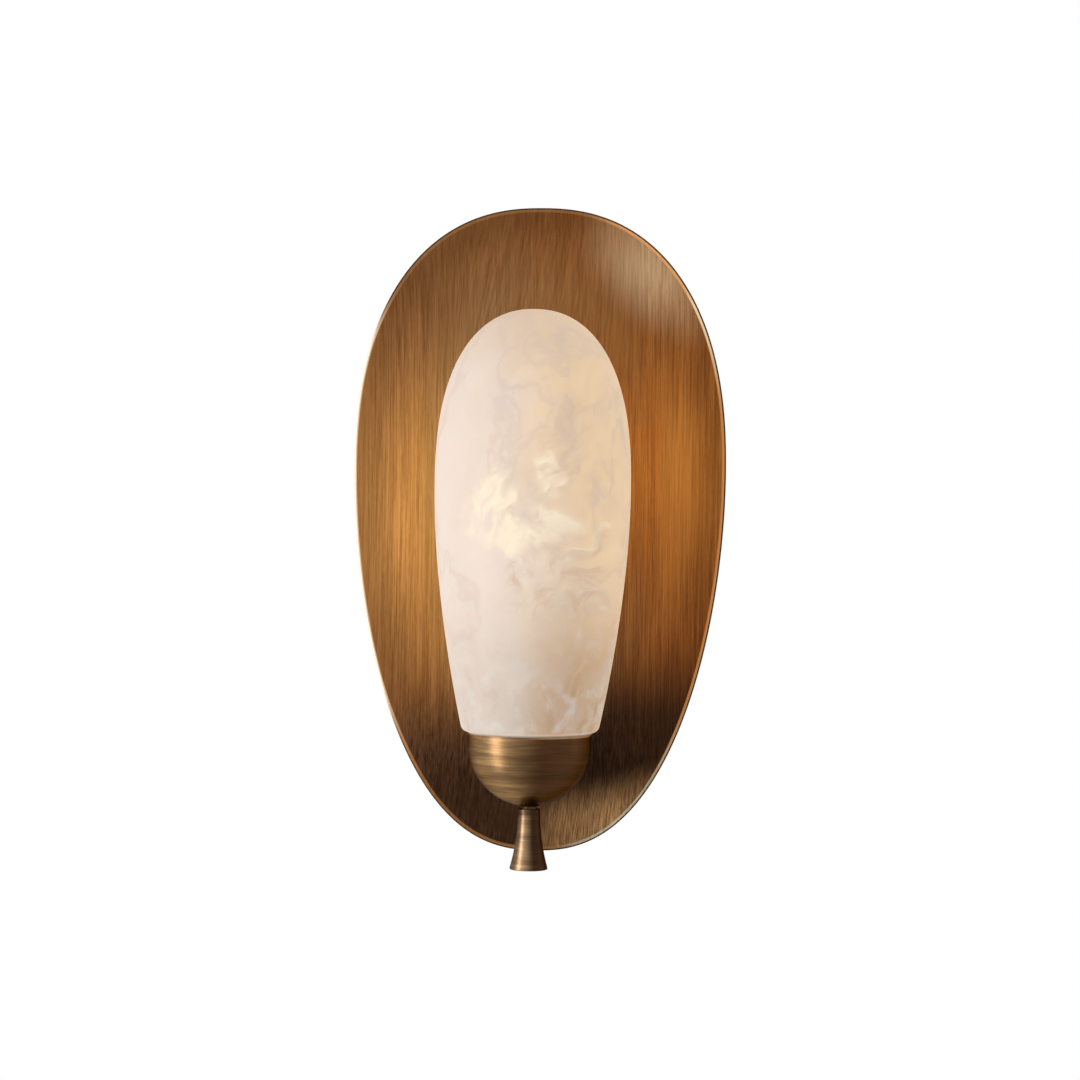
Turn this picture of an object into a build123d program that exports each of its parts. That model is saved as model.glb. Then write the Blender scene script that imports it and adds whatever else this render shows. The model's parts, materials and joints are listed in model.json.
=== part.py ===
from build123d import *
import math
import os

# Alabaster wall sconce, in millimetres. The origin is the centre of the wall mount, on the wall.
# X runs to the right, Z up, and the front of the sconce faces -Y.

# Shield outline: the height of its widest level, and its reach from there
shield_half_width = 127.5
shield_widest = 40.0
shield_rise = 180.0
shield_fall = 260.0
upper_powers = (2.32, 2.34)
lower_powers = (2.4, 1.9)
egg_step = 15

# Shield sheet: flat floor, then a flare that comes forward to the rim
shield_sheet = 2.0
flare_width = 56.0
flare_depth = 20.0
flare_power = 1.8
flare_rings = 6

# Back pan behind the shield
pan_inset = 58.0
pan_depth = 20.0
pan_wall = 1.5
pan_corner = 2.5

# Studs welded to the shield's back, with their nuts inside the pan
stud_radius = 2.0
stud_length = 9.0
stud_nut_flats = 7.0
stud_nut_height = 3.2
stud_spread = 40.0
upper_stud_level = 95.0
lower_stud_level = -60.0
stud_hole_gap = 0.3

# Wall strap with its two slots and two bent ears
strap_height = 25.0
strap_sheet = 2.5
slot_spacing = 88.9
slot_length = 12.0
slot_width = 5.2
ear_height = 16.0
ear_reach = 14.0
ear_gap = 0.3

# Side screws that hold the pan to the ears
side_screw_radius = 2.0
side_screw_length = 9.0
side_head_radius = 3.6
side_head_height = 2.4
side_screw_depth = 9.0
thread_gap = 0.04
screw_hole_gap = 0.3

# Ground screw in the strap
ground_screw_radius = 2.4
ground_head_flats = 8.0
ground_head_height = 3.6
ground_screw_across = 20.0

# Arm behind the cup, with a thinner threaded tail at each end; its axis stands just above the pan's foot
arm_above_pan_foot = 14.0
arm_radius = 8.0
arm_bore = 4.5
tail_radius = 6.5
tail_reach = 11.0
tail_grip = 5.0
collar_radius = 14.0
collar_length = 6.0
collar_lip = 1.5
fit_gap = 0.15
arm_washer_radius = 10.0
arm_washer_sheet = 1.0
arm_nut_flats = 17.0
arm_nut_height = 5.0
bushing_wall = 1.0
bushing_flange = 1.0
bushing_depth = 4.0

# Ring terminals of the ground lead
terminal_sheet = 0.8
terminal_rim = 2.6
crimp_wall = 0.7
crimp_length = 6.0

# Alabaster shade: outline from its widest level, turned about the lamp axis; its foot stands above the arm
shade_reach = 110.0
shade_above_arm = 14.5
shade_radius = 64.7
shade_rise = 120.0
shade_fall = 158.5
shade_taper = 19.8
shade_taper_power = 1.76
crown_powers = (2.24, 2.54)
shade_wall = 8.0
shade_corner = 5.0
cushion_sheet = 1.0
cushion_inset = 0.3

# Gallery disc that closes the cup and centres the shade's mouth
gallery_flange = 1.0
gallery_disc = 1.5
spigot_gap = 0.5
spigot_wall = 1.2
spigot_height = 8.0

# Spun cup: its mouth is the shade's mouth plus a seat; short band, then a hemisphere with a small flat
seat_width = 3.8
cup_band = 6.5
cup_sheet = 1.2
cup_flat = 0.1

# Cluster body inside the cup
cluster_radius = 18.0
cluster_wall = 3.0
cluster_height = 23.0
cap_height = 3.0
cap_spigot = 1.5
boss_reach = 19.0

# Nipple between the cluster body and the lampholder
nipple_radius = 5.0
nipple_bore = 3.5
holder_nut_flats = 14.0
holder_nut_height = 3.0
nipple_above_nut = 1.5

# Porcelain lampholder
holder_radius = 19.0
holder_base_height = 26.0
holder_base_floor = 6.0
holder_base_wall = 3.5
holder_body_height = 30.0
holder_body_floor = 4.0
socket_shell_sheet = 0.5
socket_shell_gap = 0.05
socket_seat_gap = 0.3
socket_recess = 1.5
tongue_rise = 3.0
tongue_sheet = 0.5
tongue_width = 6.0
tongue_length = 11.0
terminal_spread = 6.5
terminal_radius = 1.5
terminal_head_radius = 3.0
terminal_head_height = 2.5

# Lamp: tubular bulb with a 26 mm screw base
lamp_length = 185.0
lamp_radius = 16.0
lamp_base_radius = 13.05
lamp_base_height = 20.0
lamp_base_sheet = 0.4
lamp_contact_radius = 4.5
lamp_contact_height = 2.0
lamp_insulator_height = 3.5
lamp_insulator_radius = 11.0
lamp_glass_sheet = 0.9
lamp_neck_inset = 0.1
lamp_neck_depth = 8.0
lamp_shoulder = 10.0
stem_radius = 3.0
stem_button_radius = 6.2
stem_button_height = 1.2
stem_level = 30.0
support_radius = 0.8
filament_radius = 0.9
filament_circle = 4.6
filament_length = 100.0
filament_count = 4

# Stud, spacer and finial under the cup
finial_stud_radius = 3.0
finial_stud_grip = 14.0
spacer_radius = 4.7
spacer_height = 1.8
finial_top_radius = 7.2
finial_foot_radius = 12.85
finial_height = 39.8
finial_foot_round = 0.8
finial_bore_gap = 0.05
finial_bore_spare = 1.5

# Internal leads and their twist-on connectors
lead_radius = 1.1
lead_spread = 1.3
lead_plane = -3.5
lead_in_pan = -9.0
lead_drop = 18.0
arc_share = 0.45
connector_radius = 6.5
connector_top_radius = 4.6
connector_height = 22.0
connector_depth = 12.0
connector_level = 30.0
line_connector_across = -26.0
neutral_connector_across = -8.0

# Levels and planes that follow from the sizes
pan_floor = pan_wall - pan_depth
shield_back = -pan_depth
shield_floor = shield_back - shield_sheet
lamp_line = -shade_reach
arm_level = shield_widest - shield_fall + pan_inset + arm_above_pan_foot
shade_bottom = arm_level + shade_above_arm
shade_widest = shade_bottom + shade_fall
gallery_top = shade_bottom - cushion_sheet
cup_top = gallery_top - gallery_flange
mouth_radius = shade_radius - shade_taper - shade_wall
cup_radius = mouth_radius + seat_width
cup_centre = cup_top - cup_band
cup_bottom = cup_centre - cup_radius + cup_flat
gallery_bottom = cup_top - gallery_disc
cluster_top = gallery_bottom - cap_height
cluster_bottom = cluster_top - cluster_height
cluster_floor = cluster_bottom + cluster_wall
boss_face = lamp_line + boss_reach
base_floor_top = gallery_top + holder_base_floor
base_top = gallery_top + holder_base_height
body_top = base_top + holder_body_height
body_floor_top = base_top + holder_body_floor
lamp_bottom = body_floor_top + tongue_rise
insulator_bottom = lamp_bottom + lamp_contact_height
lamp_base_bottom = insulator_bottom + lamp_insulator_height
lamp_base_top = lamp_base_bottom + lamp_base_height
finial_top = cup_bottom - spacer_height
finial_bottom = finial_top - finial_height
tail_end = pan_floor + tail_reach

lamp_plane = Plane((0, lamp_line, 0), x_dir=(1, 0, 0), z_dir=(0, -1, 0))
lamp_axis = Axis((0, lamp_line, 0), (0, 0, 1))
upright_base = (Align.CENTER, Align.CENTER, Align.MIN)


def upright(radius, low, high, x=0.0, y=lamp_line):
    """A cylinder along Z between two levels, on the lamp axis unless told otherwise."""
    return Pos(x, y, low) * Cylinder(radius, high - low, align=upright_base)


def forward(radius, back, front, x=0.0, z=arm_level):
    """A cylinder along Y from a back plane to a front plane."""
    return Pos(x, back, z) * Rot(90, 0, 0) * Cylinder(radius, back - front, align=upright_base)


def forward_hexagon(flats, back, front, x=0.0, z=arm_level):
    """A hexagonal bar along Y, by the distance across its flats."""
    face = RegularPolygon(flats / 2, 6, major_radius=False)
    return Pos(x, back, z) * Rot(90, 0, 0) * extrude(face, back - front)


def turned(edges):
    """A solid turned about the lamp axis from the edges of its half outline, as (radius, level)."""
    return revolve(lamp_plane * make_face(edges), lamp_axis)


def curve_share(power_x, power_z, turn):
    """Shares of the half width and of the height on a superellipse quarter, turn in degrees."""
    across = math.cos(math.radians(turn)) ** (2 / power_x)
    up = math.sin(math.radians(turn)) ** (2 / power_z)
    return across, up


def egg_half_width(inset, level):
    """Half the width of the shield's outline at a level, drawn in by an inset."""
    above = level - shield_widest
    powers = upper_powers if above > 0 else lower_powers
    height = (shield_rise if above > 0 else shield_fall) - inset
    share = 1 - (abs(above) / height) ** powers[1]
    return (shield_half_width - inset) * share ** (1 / powers[0])


def egg_face(inset, depth):
    """The shield's outline as a face square to Y, drawn in by an inset."""
    half_width = shield_half_width - inset
    points = []
    for turn in range(0, 360, egg_step):
        quarter, rest = divmod(turn, 90)
        upper = quarter < 2
        powers = upper_powers if upper else lower_powers
        height = (shield_rise if upper else shield_fall) - inset
        angle = rest if quarter % 2 == 0 else 90 - rest
        across, up = curve_share(powers[0], powers[1], angle)
        side = 1 if quarter in (0, 3) else -1
        way = 1 if upper else -1
        points.append((side * half_width * across, depth, shield_widest + way * height * up))
    return Face(Wire([Spline(*points, periodic=True)]))


def egg_block(inset, back, front):
    """A straight block with the shield's outline between two planes."""
    return extrude(egg_face(inset, back), back - front, dir=(0, -1, 0))


def dish_block(floor):
    """The space in front of the dish: from its flat floor, through the flare, past the rim."""
    rings = []
    for ring in range(flare_rings + 2):
        share = ring / flare_rings
        rings.append(egg_face(flare_width * (1 - share), floor - flare_depth * share**flare_power))
    return loft(rings)


def shield():
    """Dished sheet, cut square to the wall all round its egg outline."""
    sheet = dish_block(shield_back) - dish_block(shield_floor)
    sheet &= egg_block(0, 0, shield_floor - 2 * flare_depth)
    return sheet - forward(tail_radius + fit_gap, 0, shield_floor - flare_depth)


def stud_places():
    levels = (upper_stud_level, lower_stud_level)
    return [(side * stud_spread, level) for side in (-1, 1) for level in levels]


def pan():
    """Egg-shaped pan, open to the wall, with its front wall behind the shield's floor."""
    shell = egg_block(pan_inset, 0, -pan_depth)
    front_edge = shell.edges().filter_by(lambda edge: edge.center().Y < -pan_depth / 2)
    front_edge = front_edge.filter_by(lambda edge: edge.bounding_box().size.Y < 1)
    shell = fillet(front_edge, pan_corner)
    shell -= egg_block(pan_inset + pan_wall, 0, pan_floor)
    shell -= forward(tail_radius + fit_gap, 0, -pan_depth)
    for x, z in stud_places():
        shell -= forward(stud_radius + stud_hole_gap, 0, -pan_depth, x, z)
    for side in (-1, 1):
        hole = Cylinder(side_screw_radius + screw_hole_gap, 2 * pan_wall + ear_gap)
        place = side * egg_half_width(pan_inset, 0)
        shell -= Pos(place, -side_screw_depth, 0) * Rot(0, 90, 0) * hole
    return shell


def studs():
    """Weld studs that stand on the back of the shield's floor."""
    return [forward(stud_radius, shield_back + stud_length, shield_back, x, z) for x, z in stud_places()]


def stud_nuts():
    nuts = []
    for x, z in stud_places():
        nut = forward_hexagon(stud_nut_flats, pan_floor + stud_nut_height, pan_floor, x, z)
        nuts.append(nut - forward(stud_radius + thread_gap, 0, -pan_depth, x, z))
    return nuts


def ear_face():
    """How far out the ears' outer faces stand, just inside the pan's side walls."""
    return egg_half_width(pan_inset + pan_wall, -strap_height / 2) - ear_gap


def strap():
    """Flat crossbar on the wall with a bent ear at each end and two slots for the box screws."""
    reach = ear_face()
    bar = Pos(0, -strap_sheet / 2, 0) * Box(2 * reach, strap_sheet, strap_height)
    for side in (-1, 1):
        ear = Box(strap_sheet, ear_reach, ear_height)
        bar += Pos(side * (reach - strap_sheet / 2), -ear_reach / 2, 0) * ear
        slot = extrude(SlotOverall(slot_length, slot_width), strap_sheet)
        bar -= Pos(side * slot_spacing / 2, 0, 0) * Rot(90, 0, 0) * slot
        hole = Cylinder(side_screw_radius + thread_gap, 4 * strap_sheet)
        bar -= Pos(side * reach, -side_screw_depth, 0) * Rot(0, 90, 0) * hole
    bar -= forward(ground_screw_radius + thread_gap, 0, -strap_sheet, ground_screw_across, 0)
    return bar


def side_screws():
    """Pan-head screws from outside the pan into the ears."""
    screws = []
    for side in (-1, 1):
        seat = egg_half_width(pan_inset, side_head_radius) + thread_gap
        shank = Cylinder(side_screw_radius, side_screw_length, align=upright_base)
        head = Cylinder(side_head_radius, side_head_height, align=upright_base)
        head = fillet(head.edges().sort_by(Axis.Z)[-1:], side_head_height / 2)
        drive = Cylinder(side_head_radius / 3, side_head_height, align=upright_base)
        screw = Pos(0, 0, -side_screw_length) * shank + head - Pos(0, 0, side_head_height / 2) * drive
        screws.append(Pos(side * seat, -side_screw_depth, 0) * Rot(0, side * 90, 0) * screw)
    return screws


def ground_screw():
    """Green hexagon-head screw over the ring terminal on the strap."""
    under_head = -strap_sheet - terminal_sheet
    head_top = under_head - ground_head_height
    head = forward_hexagon(ground_head_flats, under_head, head_top, ground_screw_across, 0)
    shank = forward(ground_screw_radius, -thread_gap, under_head, ground_screw_across, 0)
    return head + shank


def ring_terminal(bore, way, side):
    """Flat ring square to Y about its own hole; its barrel points up or down on one side of it."""
    ring_radius = bore + terminal_rim
    start, stand_off = barrel_place(bore)
    barrel_level = -stand_off if side < 0 else stand_off - terminal_sheet
    ring = forward(ring_radius, 0, -terminal_sheet, z=0)
    tongue = Box(2 * stand_off, terminal_sheet, start + crimp_wall)
    ring += Pos(0, -terminal_sheet / 2, (start + crimp_wall) / 2) * tongue
    ring += upright(stand_off, start, start + crimp_length, y=barrel_level)
    ring -= forward(bore, 0, -terminal_sheet, z=0)
    ring -= upright(lead_radius + thread_gap, start + crimp_wall, start + crimp_length, y=barrel_level)
    return Rot(0, 0 if way > 0 else 180, 0) * ring


def barrel_place(bore):
    """Distance from a ring terminal's centre to its barrel's foot, and the barrel's outer radius."""
    return bore + 1.5 * terminal_rim, lead_radius + thread_gap + crimp_wall


def strap_ring():
    """Ring terminal under the ground screw's head."""
    place = Pos(ground_screw_across, -strap_sheet, 0)
    return place * ring_terminal(ground_screw_radius + fit_gap, -1, -1)


def arm_ring():
    """Ring terminal between the arm's washer and nut."""
    back = pan_floor + arm_washer_sheet + terminal_sheet
    return Pos(0, back, arm_level) * ring_terminal(tail_radius + fit_gap, 1, 1)


def arm():
    """Tube from the pan to the cluster body, with a thinner tail through each wall."""
    tube = forward(arm_radius, shield_floor, boss_face)
    tube += forward(tail_radius, tail_end, boss_face - tail_grip)
    return tube - forward(arm_bore, 0, lamp_line)


def arm_collar():
    """Tapered collar that hides the arm's hole in the shield."""
    neck_radius = arm_radius + fit_gap + collar_lip
    cone = Cone(collar_radius, neck_radius, collar_length, align=upright_base)
    ring = Pos(0, shield_floor, arm_level) * Rot(90, 0, 0) * cone
    return ring - forward(arm_radius + fit_gap, 0, lamp_line)


def arm_washer():
    back = pan_floor + arm_washer_sheet
    return forward(arm_washer_radius, back, pan_floor) - forward(tail_radius + thread_gap, back, pan_floor)


def arm_nut():
    front = pan_floor + arm_washer_sheet + terminal_sheet
    nut = forward_hexagon(arm_nut_flats, front + arm_nut_height, front)
    return nut - forward(tail_radius + thread_gap, 0, -pan_depth)


def arm_bushing():
    """Flanged plastic bushing in the arm's rear mouth."""
    plug = forward(tail_radius, tail_end + bushing_flange, tail_end)
    plug += forward(arm_bore - thread_gap, tail_end, tail_end - bushing_depth)
    return plug - forward(arm_bore - bushing_wall, 0, -pan_depth)


def cluster():
    """Hollow brass body with a boss for the arm and a tapped floor for the stud."""
    body = upright(cluster_radius, cluster_bottom, cluster_top)
    body += forward(arm_radius, boss_face, lamp_line)
    body -= upright(cluster_radius - cluster_wall, cluster_floor, cluster_top)
    body -= forward(tail_radius + thread_gap, boss_face, lamp_line)
    return body - upright(finial_stud_radius + thread_gap, cluster_bottom, cluster_floor)


def cluster_cap():
    """Lid of the cluster body, with a spigot inside it and a tapped hole for the nipple."""
    lid = upright(cluster_radius, cluster_top, gallery_bottom)
    lid += upright(cluster_radius - cluster_wall - thread_gap, cluster_top - cap_spigot, cluster_top)
    return lid - upright(nipple_radius + thread_gap, cluster_bottom, gallery_bottom)


def cup():
    """Spun shell: a short band, a hemisphere, a small flat under it, and a hole at the back for the arm."""
    shell = upright(cup_radius, cup_centre, cup_top) + Pos(0, lamp_line, cup_centre) * Sphere(cup_radius)
    inner_radius = cup_radius - cup_sheet
    shell -= upright(inner_radius, cup_centre, cup_top)
    shell -= Pos(0, lamp_line, cup_centre) * Sphere(inner_radius)
    shell -= upright(cup_radius, cup_top, cup_top + cup_radius)
    shell -= upright(cup_radius, cup_bottom - cup_flat, cup_bottom)
    shell -= upright(finial_stud_radius + fit_gap, cup_bottom, cup_centre)
    return shell - forward(arm_radius + fit_gap, 0, lamp_line + cup_radius / 2)


def gallery():
    """Disc inside the cup's mouth, a flange over its rim, and a ring inside the shade's mouth."""
    disc = upright(cup_radius - cup_sheet - thread_gap, gallery_bottom, cup_top)
    disc += upright(cup_radius, cup_top, gallery_top)
    spigot = mouth_radius - spigot_gap
    disc += upright(spigot, gallery_top, gallery_top + spigot_height)
    disc -= upright(spigot - spigot_wall, gallery_top, gallery_top + spigot_height)
    return disc - upright(nipple_radius + thread_gap, gallery_bottom, gallery_top)


def nipple_top():
    return base_floor_top + holder_nut_height + nipple_above_nut


def nipple():
    tube = upright(nipple_radius, cluster_top - cap_spigot, nipple_top())
    return tube - upright(nipple_bore, cluster_bottom, body_top)


def holder_nut():
    nut = extrude(RegularPolygon(holder_nut_flats / 2, 6, major_radius=False), holder_nut_height)
    nut = Pos(0, lamp_line, base_floor_top) * nut
    return nut - upright(nipple_radius + thread_gap, gallery_top, base_top)


def holder_base():
    """Lower porcelain cup of the lampholder, with room for the terminals."""
    base = upright(holder_radius, gallery_top, base_top)
    base -= upright(holder_radius - holder_base_wall, base_floor_top, base_top)
    return base - upright(nipple_radius + fit_gap, gallery_top, base_floor_top)


def socket_bore():
    return lamp_base_radius + socket_shell_gap + socket_shell_sheet + socket_seat_gap


def holder_body():
    """Upper porcelain cup of the lampholder, with a floor that carries the contacts."""
    body = upright(holder_radius, base_top, body_top)
    body -= upright(socket_bore(), body_floor_top, body_top)
    for side in (-1, 1):
        body -= upright(terminal_radius + thread_gap, base_top, body_floor_top, side * terminal_spread)
    return fillet(body.edges().group_by(Axis.Z)[-1].sort_by(SortBy.LENGTH)[-1:], holder_base_wall / 2)


def screw_shell():
    """Thin threaded sleeve of the lampholder, drawn at the thread's mean radius."""
    inner = lamp_base_radius + socket_shell_gap
    sleeve = upright(inner + socket_shell_sheet, body_floor_top, body_top - socket_recess)
    return sleeve - upright(inner, body_floor_top, body_top)


def contact_tongue():
    """Sprung strip that rises from the porcelain floor to the lamp's contact."""
    start = lamp_contact_radius - tongue_length
    foot_end = start + tongue_length / 3
    outline = Polyline(
        (start, body_floor_top),
        (foot_end, body_floor_top),
        (-lamp_contact_radius / 3, lamp_bottom - tongue_sheet),
        (lamp_contact_radius / 2, lamp_bottom - tongue_sheet),
        (lamp_contact_radius / 2, lamp_bottom),
        (-lamp_contact_radius / 3 - tongue_sheet / 2, lamp_bottom),
        (foot_end - tongue_sheet / 2, body_floor_top + tongue_sheet),
        (start, body_floor_top + tongue_sheet),
        close=True,
    )
    strip = extrude(lamp_plane * make_face(outline), tongue_width / 2, both=True)
    return strip - upright(terminal_radius + thread_gap, base_top, body_top, -terminal_spread)


def terminal_screws():
    """One terminal under the tongue, the other under the sleeve's foot."""
    screws = []
    for side in (-1, 1):
        x = side * terminal_spread
        head = upright(terminal_head_radius, base_top - terminal_head_height, base_top, x)
        screws.append(head + upright(terminal_radius, base_top, body_floor_top, x))
    return screws


def shade_outline(inset, low):
    """Half outline of the shade from the crown down to a level, drawn in by an inset."""
    points = []
    for turn in range(90, -1, -egg_step):
        across, up = curve_share(crown_powers[0], crown_powers[1], turn)
        points.append(((shade_radius - inset) * across, shade_widest + (shade_rise - inset) * up))
    points[0] = (0, shade_widest + shade_rise - inset)
    for part in (0.25, 0.5, 0.75, 1.0):
        fall = part * (shade_widest - low)
        taper = shade_taper * (fall / shade_fall) ** shade_taper_power
        points.append((shade_radius - inset - taper, shade_widest - fall))
    return points


def shade():
    """Hollow stone: domed crown, slow taper down to a flat foot round the open mouth."""
    solids = []
    for inset in (0, shade_wall):
        points = shade_outline(inset, shade_bottom)
        top = points[0]
        foot = points[-1]
        side = Spline(*points)
        rest = Polyline(foot, (0, shade_bottom), top)
        solids.append(turned(side + rest))
    outer = fillet(solids[0].edges().group_by(Axis.Z)[0], shade_corner)
    return outer - solids[1]


def shade_cushion():
    """Soft ring between the gallery's flange and the shade's foot."""
    ring = upright(cup_radius - cushion_inset, gallery_top, shade_bottom)
    return ring - upright(mouth_radius - cushion_inset, gallery_top, shade_bottom)


def lamp_contact():
    return upright(lamp_contact_radius, lamp_bottom, insulator_bottom)


def lamp_insulator():
    foot_radius = lamp_contact_radius + lamp_contact_height
    cone = Cone(foot_radius, lamp_insulator_radius, lamp_insulator_height, align=upright_base)
    return Pos(0, lamp_line, insulator_bottom) * cone


def lamp_base():
    """Thin screw shell of the lamp with a closed foot, drawn at the thread's mean radius."""
    shell = upright(lamp_base_radius, lamp_base_bottom, lamp_base_top)
    inner_radius = lamp_base_radius - lamp_base_sheet
    return shell - upright(inner_radius, lamp_base_bottom + lamp_base_sheet, lamp_base_top)


def glass_outline(inset, low):
    """Half outline of the glass: neck, shoulder, long tube and domed end."""
    neck = lamp_base_radius - lamp_base_sheet - lamp_neck_inset - inset
    tube = lamp_radius - inset
    shoulder_top = lamp_base_top + lamp_shoulder
    dome_level = lamp_bottom + lamp_length - lamp_radius
    foot = Line((0, low), (neck, low))
    neck_side = Line((neck, low), (neck, lamp_base_top))
    middle = ((neck + tube) / 2, (lamp_base_top + shoulder_top) / 2)
    lower_arc = TangentArc([(neck, lamp_base_top), middle], tangent=(0, 1))
    upper_arc = TangentArc([(tube, shoulder_top), middle], tangent=(0, -1))
    tube_side = Line((tube, shoulder_top), (tube, dome_level))
    dome = CenterArc((0, dome_level), tube, 0, 90)
    axis_side = Line((0, dome_level + tube), (0, low))
    return foot + neck_side + lower_arc + upper_arc + tube_side + dome + axis_side


def lamp_glass():
    low = lamp_base_top - lamp_neck_depth
    return turned(glass_outline(0, low)) - turned(glass_outline(lamp_glass_sheet, low))


def stem_top():
    return lamp_base_top + stem_level


def lamp_stem():
    """Glass foot in the neck, a rod, and two buttons that hold the filaments."""
    low = lamp_base_top - lamp_neck_depth
    neck = lamp_base_radius - lamp_base_sheet - lamp_neck_inset - lamp_glass_sheet - thread_gap
    lower_button = stem_top() - stem_button_height
    upper_button = stem_top() + filament_length
    stem = upright(neck, low, low + stem_button_height) + upright(stem_radius, low, lower_button)
    stem += upright(stem_button_radius, lower_button, stem_top())
    stem += upright(support_radius, stem_top(), upper_button)
    return stem + upright(stem_button_radius, upper_button, upper_button + stem_button_height)


def lamp_filaments():
    rods = []
    for number in range(filament_count):
        turn = math.tau * (number + 0.5) / filament_count
        x = filament_circle * math.cos(turn)
        y = lamp_line + filament_circle * math.sin(turn)
        rods.append(upright(filament_radius, stem_top(), stem_top() + filament_length, x, y))
    return rods


def finial_stud():
    return upright(finial_stud_radius, finial_top - finial_stud_grip, cluster_floor)


def neck_spacer():
    ring = upright(spacer_radius, finial_top, cup_bottom)
    return ring - upright(finial_stud_radius + finial_bore_gap, finial_top, cup_bottom)


def finial():
    """Solid turned trumpet: straight under the cup, flaring to a broad foot."""
    top_corner = (finial_top_radius, finial_top)
    foot_corner = (finial_foot_radius, finial_bottom)
    flare = TangentArc([top_corner, foot_corner], tangent=(0, -1))
    rest = Polyline(foot_corner, (0, finial_bottom), (0, finial_top), top_corner)
    body = turned(flare + rest)
    body = fillet(body.edges().group_by(Axis.Z)[0], finial_foot_round)
    bore_end = finial_top - finial_stud_grip - finial_bore_spare
    return body - upright(finial_stud_radius + finial_bore_gap, bore_end, finial_top)


def corner_radii(points):
    """As large an arc at each corner of a route as its two runs allow."""
    radii = []
    for before, corner, after in zip(points, points[1:], points[2:]):
        coming = Vector(corner) - Vector(before)
        going = Vector(after) - Vector(corner)
        half_turn = math.radians(coming.get_angle(going)) / 2
        radii.append(arc_share * min(coming.length, going.length) / math.tan(half_turn))
    return radii


def lead(name, points):
    """A round lead along straight runs and tangent arcs, with a printed check of its volume."""
    radii = corner_radii(points)
    path = FilletPolyline(*points, radius=radii)
    section = Plane(origin=path @ 0, z_dir=path % 0) * Circle(lead_radius)
    tube = sweep(section, path=path)
    area = math.pi * lead_radius**2
    print(name, "length", round(path.length, 2), "volume ratio", round(tube.volume / (area * path.length), 5))
    print(name, "radii", [round(radius, 1) for radius in radii])
    return tube


def lamp_lead(name, side, start):
    """From a connector in the pan, through the arm and up the nipple to one terminal."""
    x = side * lead_spread
    top = base_top - terminal_head_height
    rise = nipple_top() + nipple_above_nut
    points = [
        (start, lead_in_pan, connector_level + connector_depth - pan_wall),
        (start, lead_in_pan, -strap_height),
        ((start + x) / 2, lead_in_pan, (arm_level - strap_height) / 2),
        (x, lead_plane, arm_level + lead_drop),
        (x, lead_plane, arm_level),
        (x, lamp_line, arm_level),
        (x, lamp_line, rise),
        (side * terminal_spread, lamp_line, (rise + top) / 2),
        (side * terminal_spread, lamp_line, top),
    ]
    return lead(name, points)


def ground_lead():
    """From the strap's ring terminal down to the ring under the arm's nut."""
    strap_foot, stand_off = barrel_place(ground_screw_radius + fit_gap)
    strap_end = strap_foot + crimp_wall
    arm_end = barrel_place(tail_radius + fit_gap)[0] + crimp_wall
    strap_plane = -strap_sheet - stand_off
    arm_plane = pan_floor + arm_washer_sheet + stand_off
    points = [
        (ground_screw_across, strap_plane, -strap_end),
        (ground_screw_across, strap_plane, -strap_height),
        (ground_screw_across / 2, (strap_plane + arm_plane) / 2, (arm_level - strap_height) / 2),
        (0, arm_plane, arm_level + arm_end + 2 * crimp_length),
        (0, arm_plane, arm_level + arm_end),
    ]
    return lead("ground_lead", points)


def connectors():
    """Two twist-on connectors with their mouths down, one on each lamp lead."""
    caps = []
    for x in (line_connector_across, neutral_connector_across):
        cap = Cone(connector_radius, connector_top_radius, connector_height, align=upright_base)
        cap = fillet(cap.edges().sort_by(Axis.Z)[-1:], crimp_wall)
        cap = Pos(x, lead_in_pan, connector_level) * cap
        bore_top = connector_level + connector_depth
        caps.append(cap - upright(lead_radius + fit_gap, connector_level, bore_top, x, lead_in_pan))
    return caps


parts = {
    "shield_plate": shield(),
    "shield_studs": studs(),
    "stud_nuts": stud_nuts(),
    "back_pan": pan(),
    "wall_strap": strap(),
    "pan_screws": side_screws(),
    "ground_screw": ground_screw(),
    "strap_ring": strap_ring(),
    "arm": arm(),
    "arm_collar": arm_collar(),
    "arm_washer": arm_washer(),
    "arm_ring": arm_ring(),
    "arm_nut": arm_nut(),
    "arm_bushing": arm_bushing(),
    "cluster_body": cluster(),
    "cluster_cap": cluster_cap(),
    "cup": cup(),
    "gallery": gallery(),
    "nipple": nipple(),
    "holder_nut": holder_nut(),
    "lampholder_base": holder_base(),
    "lampholder_body": holder_body(),
    "screw_shell": screw_shell(),
    "contact_tongue": contact_tongue(),
    "terminal_screws": terminal_screws(),
    "shade": shade(),
    "shade_cushion": shade_cushion(),
    "bulb_contact": lamp_contact(),
    "bulb_insulator": lamp_insulator(),
    "bulb_base": lamp_base(),
    "bulb_glass": lamp_glass(),
    "bulb_stem": lamp_stem(),
    "bulb_filaments": lamp_filaments(),
    "finial_stud": finial_stud(),
    "neck_spacer": neck_spacer(),
    "finial": finial(),
    "line_lead": lamp_lead("line_lead", -1, line_connector_across),
    "neutral_lead": lamp_lead("neutral_lead", 1, neutral_connector_across),
    "ground_lead": ground_lead(),
    "wire_connectors": connectors(),
}

os.makedirs("parts", exist_ok=True)
for node, shape in parts.items():
    solids = shape if isinstance(shape, list) else [shape]
    export_step(Compound(children=list(solids)) if len(solids) > 1 else solids[0], f"parts/{node}.step")
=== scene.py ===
# %% [markdown]
# # An alabaster wall sconce, dressed in Blender
# The imported model gives every piece its true size and place. Blender adds what the eye judges: the hand
# brushed brass, the veined stone with a lamp behind it, and the light of a plain studio. The frame is
# loaded first.

import bmesh
import bpy
import json
import math
from mathutils import Matrix, Vector


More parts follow.
